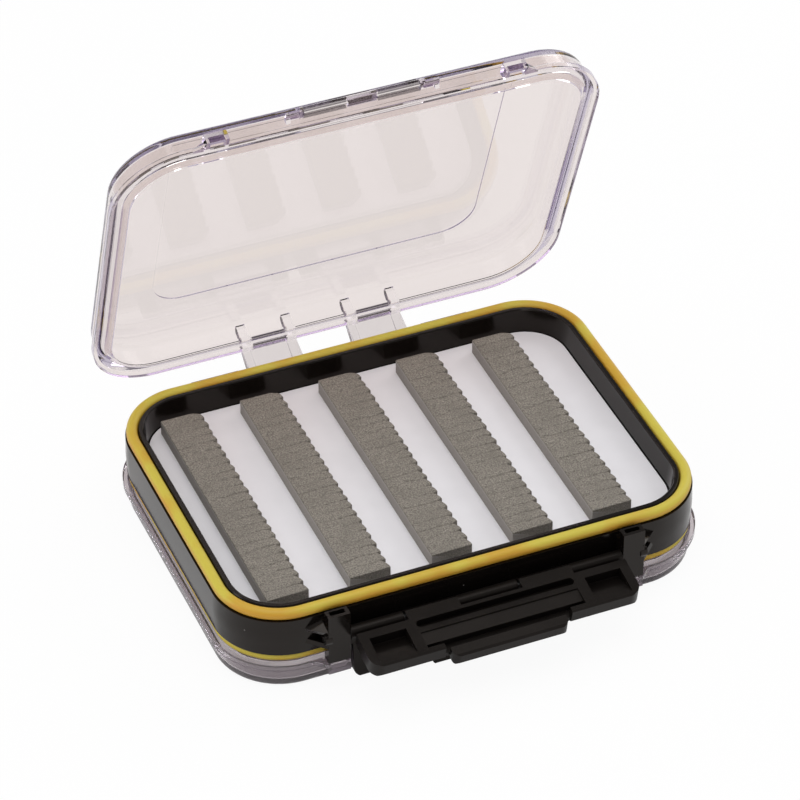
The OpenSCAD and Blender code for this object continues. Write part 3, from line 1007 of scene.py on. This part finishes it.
    def strip(self, side: Side, index: int) -> bpy.types.Object:
        """Makes one strip as a row of closed loops, one for each section.

        Each point is its outline's point, moved along by the waves of the slits, the more
        the higher it lies. On the top it also sinks by the slit's depth in a slit, by a little
        for the whole leaf, and by the bulge times a power of the distance from the leaf's
        middle.

        Args:
            side: The side of the box.
            index: The strip's number from 0.

        Returns:
            The strip.
        """
        rng = np.random.default_rng(100 * index + (7 if side is Side.UPPER else 51))
        x, z = self.outline(self.teeth(rng))
        y = (self.leaf + self.share) / self.leaves * self.length - self.length / 2
        u, rise = x / self.width, z / self.height
        wave, slit = self.waves(u, rng), self.slits(u)
        lift = rng.uniform(-0.08, 0.0, self.leaves)[self.leaf] * MM
        round_off = -self.bulge * np.abs(2 * self.share - 1) ** 2.6 - 0.06 * MM * self.share
        on_top = rise > 0.9
        sink = on_top * ((lift + round_off)[:, None] - self.slit_depth * slit)
        middle = (index - (self.count - 1) / 2) * self.pitch - self.shift
        points = np.stack([x + middle, y[:, None] + wave * rise.clip(0, 1) ** 2,
                           z + sink + self.foot], -1)
        core = self.foot + self.height / 2
        ends = np.array([[middle, -self.length / 2, core], [middle, self.length / 2, core]])
        name = f"{side.word}_foam_{index + 1}"
        mesh = bpy.data.meshes.new(name)
        mesh.from_pydata(side.place(np.concatenate([points.reshape(-1, 3), ends])), [],
                         capped_faces(*x.shape))
        piece = link_piece(name, mesh, self.hard_edge)
        self.mark(piece, slit * on_top)
        return piece

    def build(self, side: Side, foam: bpy.types.Material) -> None:
        """Makes and dresses the strips of one side.

        Args:
            side: The side of the box.
            foam: The finish.
        """
        for index in range(self.count):
            piece = self.strip(side, index)
            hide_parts(f"{side.word}_foam_strip_{index + 1}")
            dress(piece, foam, "base")


@dataclass
class Lid:
    """A clear moulded lid, whose edges over edge_turn degrees are eased."""

    edge: float = 0.2 * MM
    edge_turn: float = 24.0

    def build(self, node: str, clear: bpy.types.Material) -> None:
        """Eases and dresses the lid of a node, which is also its body's name."""
        piece = moulded_copy(node, f"{node}_moulding", self.edge, self.edge_turn)
        dress(piece, clear, node)


@dataclass
class Latch:
    """A black latch."""

    edge: float = 0.14 * MM

    def build(self, node: str, black: bpy.types.Material) -> None:
        """Eases and dresses the latch of a node, which is also its body's name."""
        piece = moulded_copy(node, f"{node}_moulding", self.edge)
        dress(piece, black, node)


# ---- studio ----

@dataclass(frozen=True)
class Softbox:
    """A square lamp: its middle and side in metres, and its share of full level."""

    name: str
    place: Place
    size: float
    level: float

    def hang(self, target: Place) -> None:
        """Hangs the lamp so that it faces a target.

        A white surface at the target that faces a lamp of level 1 shows as white.

        Args:
            target: The point that it faces.
        """
        data = bpy.data.lights.new(self.name, "AREA")
        data.shape, data.size = "SQUARE", self.size
        aim = Vector(target) - Vector(self.place)
        data.energy = self.level * math.pi ** 2 * aim.length_squared
        lamp = bpy.data.objects.new(self.name, data)
        lamp.location = self.place
        lamp.rotation_euler = aim.to_track_quat("-Z", "Y").to_euler()
        lamp.visible_camera = False
        bpy.context.scene.collection.objects.link(lamp)


@dataclass
class Studio:
    """Table, white surroundings, lamps and camera.

    Ambient is the level of the even light, and gloss_ambient what gloss sees of it high up,
    with the share ceiling of white. Of the table's white, shadow_share is left to its shadows,
    gloss sees mirror_share, and clear plastic sees under_share below the box, within foot.
    """

    ambient: float = 0.5
    gloss_ambient: float = 0.2
    ceiling: float = 0.15
    ceiling_rise: Span = (0.30, 0.60)
    air_tone: Colour = (1.0, 0.985, 0.99)
    floor_tone: Colour = (0.9, 0.9, 0.9)
    floor_reach: float = 3.0
    floor_drop: float = 0.02 * MM
    shadow_share: float = 0.06
    mirror_share: float = 0.45
    under_share: float = 0.35
    foot: Span = (62.0 * MM, 46.0 * MM)
    lamp_target: Place = (0.0, 0.0, 0.02)
    lamps: tuple[Softbox, ...] = (
        Softbox("left softbox", (-0.95, 0.10, 0.32), 0.5, 0.19),
        Softbox("right softbox", (0.80, 0.30, 0.62), 0.5, 0.22),
        Softbox("top softbox", (-0.10, -0.10, 0.95), 0.8, 0.51))
    eye: Place = (-0.3015, -0.7128, 0.6635)
    look_down: float = 38.87
    look_right: float = 22.80
    lens: float = 180.0
    film: float = 36.0

    def table(self) -> bpy.types.Material:
        """Builds the table's finish: matt under white light of its own.

        Returns:
            The material.
        """
        material = bpy.data.materials.new("pale table")
        material.use_nodes = True
        wire = Wiring(material.node_tree)
        wire.tree.nodes.clear()
        path = wire.add("ShaderNodeLightPath").outputs
        spot = wire.axes(wire.here())
        beside = wire.maths("MAXIMUM", *(
            wire.ramp(wire.maths("ABSOLUTE", spot[k]), half - 4 * MM, half + 2 * MM,
                      self.under_share)
            for k, half in enumerate(self.foot)))
        mirrored = wire.maths("MULTIPLY", path["Is Glossy Ray"], self.mirror_share)
        through = wire.maths("MULTIPLY", path["Is Transmission Ray"], beside)
        seen = wire.maths("MAXIMUM", path["Is Camera Ray"],
                          wire.maths("MAXIMUM", mirrored, through))
        matt = wire.add("ShaderNodeBsdfDiffuse", Color=scaled(self.floor_tone))
        white = wire.add("ShaderNodeEmission", Color=scaled((1.0, 1.0, 1.0)), Strength=1.0)
        share = wire.maths("MULTIPLY", seen, 1.0 - self.shadow_share)
        out = wire.add("ShaderNodeOutputMaterial")
        wire.fill(out.inputs["Surface"], wire.mix_shaders(share, matt, white))
        return material

    def floor(self) -> None:
        """Lays the pale table, which shows as white and keeps a faint part of its shadows."""
        mesh = bpy.data.meshes.new("table_top")
        corners = [(x * self.floor_reach, y * self.floor_reach, -self.floor_drop)
                   for x, y in ((-1, -1), (1, -1), (1, 1), (-1, 1))]
        mesh.from_pydata(corners, [], [(0, 1, 2, 3)])
        table = bpy.data.objects.new("table_top", mesh)
        bpy.context.scene.collection.objects.link(table)
        mesh.materials.append(self.table())

    def world(self) -> None:
        """Sets soft even light, and white for what the camera, gloss and glass see.

        High up, where the studio has its dark ceiling, gloss sees a part of the white only.
        """
        world = bpy.data.worlds.new("white studio")
        bpy.context.scene.world = world
        world.use_nodes = True
        wire = Wiring(world.node_tree)
        wire.tree.nodes.clear()
        path = wire.add("ShaderNodeLightPath").outputs
        up = wire.axes(wire.here("Generated"))["Z"]
        glossy = wire.maths("MULTIPLY", path["Is Glossy Ray"],
                            wire.ramp(up, *self.ceiling_rise, 1.0, self.ceiling))
        seen = wire.maths("MAXIMUM", path["Is Camera Ray"],
                          wire.maths("MAXIMUM", glossy, path["Is Transmission Ray"]))
        loss = wire.maths("MULTIPLY", path["Is Glossy Ray"], self.ambient - self.gloss_ambient)
        soft = wire.add("ShaderNodeBackground", Color=scaled(self.air_tone),
                        Strength=wire.maths("SUBTRACT", self.ambient, loss))
        white = wire.add("ShaderNodeBackground", Color=scaled((1.0, 1.0, 1.0)), Strength=1.0)
        out = wire.add("ShaderNodeOutputWorld")
        wire.fill(out.inputs["Surface"], wire.mix_shaders(seen, soft, white))

    def camera(self) -> None:
        """Stands the camera where the photograph was taken, with a long lens."""
        data = bpy.data.cameras.new("camera")
        data.lens, data.sensor_width = self.lens, self.film
        data.clip_start, data.clip_end = 0.05, 20.0
        camera = bpy.data.objects.new("camera", data)
        camera.location = self.eye
        camera.rotation_euler = (math.radians(90 - self.look_down), 0.0,
                                 math.radians(-self.look_right))
        bpy.context.scene.collection.objects.link(camera)
        bpy.context.scene.camera = camera

    def build(self) -> None:
        """Makes the whole studio."""
        bpy.context.scene.view_settings.view_transform = "Standard"
        self.floor()
        self.world()
        for lamp in self.lamps:
            lamp.hang(self.lamp_target)
        self.camera()
        LOG.info("the studio stands, with %d lamps", len(self.lamps))


def main() -> None:
    """Builds the fly box and its studio."""
    logging.basicConfig(level=logging.INFO, format="%(name)s: %(message)s")
    shared = Groups()
    frame_black = BlackPlastic("black frame plastic", (0.0044, 0.0033, 0.0028), roughness=0.13,
                               gloss=0.28, grain=Grain(5200.0, 0.6, 0.006 * MM))
    latch_black = BlackPlastic("black latch plastic", (0.0056, 0.0045, 0.0039), roughness=0.33,
                               gloss=0.17, grain=Grain(4200.0, 0.6, 0.016 * MM))
    rubber = SealRubber().material(shared)
    white = WhiteSheet().material(shared)
    foam = GreyFoam().material(shared)
    clear = {
        Side.UPPER: ClearPlastic("clear upper lid plastic", Side.UPPER, opened=70.2,
                                 window_x=(10.1 * MM, 19.3 * MM)),
        # Painted shade: the lower lid is the same plastic, darker, milkier and with a darker far
        # tint.
        Side.LOWER: ClearPlastic("clear lower lid plastic", Side.LOWER, opened=0.0,
                                 window_x=(28.55 * MM, 35.75 * MM), tint=(0.63, 0.58, 0.60),
                                 far_tint=(0.60, 0.55, 0.62), clearness=0.85, haze=0.05),
    }
    steel = DrawnSteel().material(shared)
    Frame().build(frame_black.material(shared), white)
    black = latch_black.material(shared)
    for side in Side:
        Seal().build(side, rubber)
        FoamRow().build(side, foam)
        Lid().build(f"{side.word}_lid", clear[side].material(shared))
        Latch().build(f"{side.word}_latch", black)
    for pin in ("latch_pin", "hinge_pin_left", "hinge_pin_right"):
        dress_node(pin, steel)
    Studio().build()


if __name__ == "__main__":
    main()
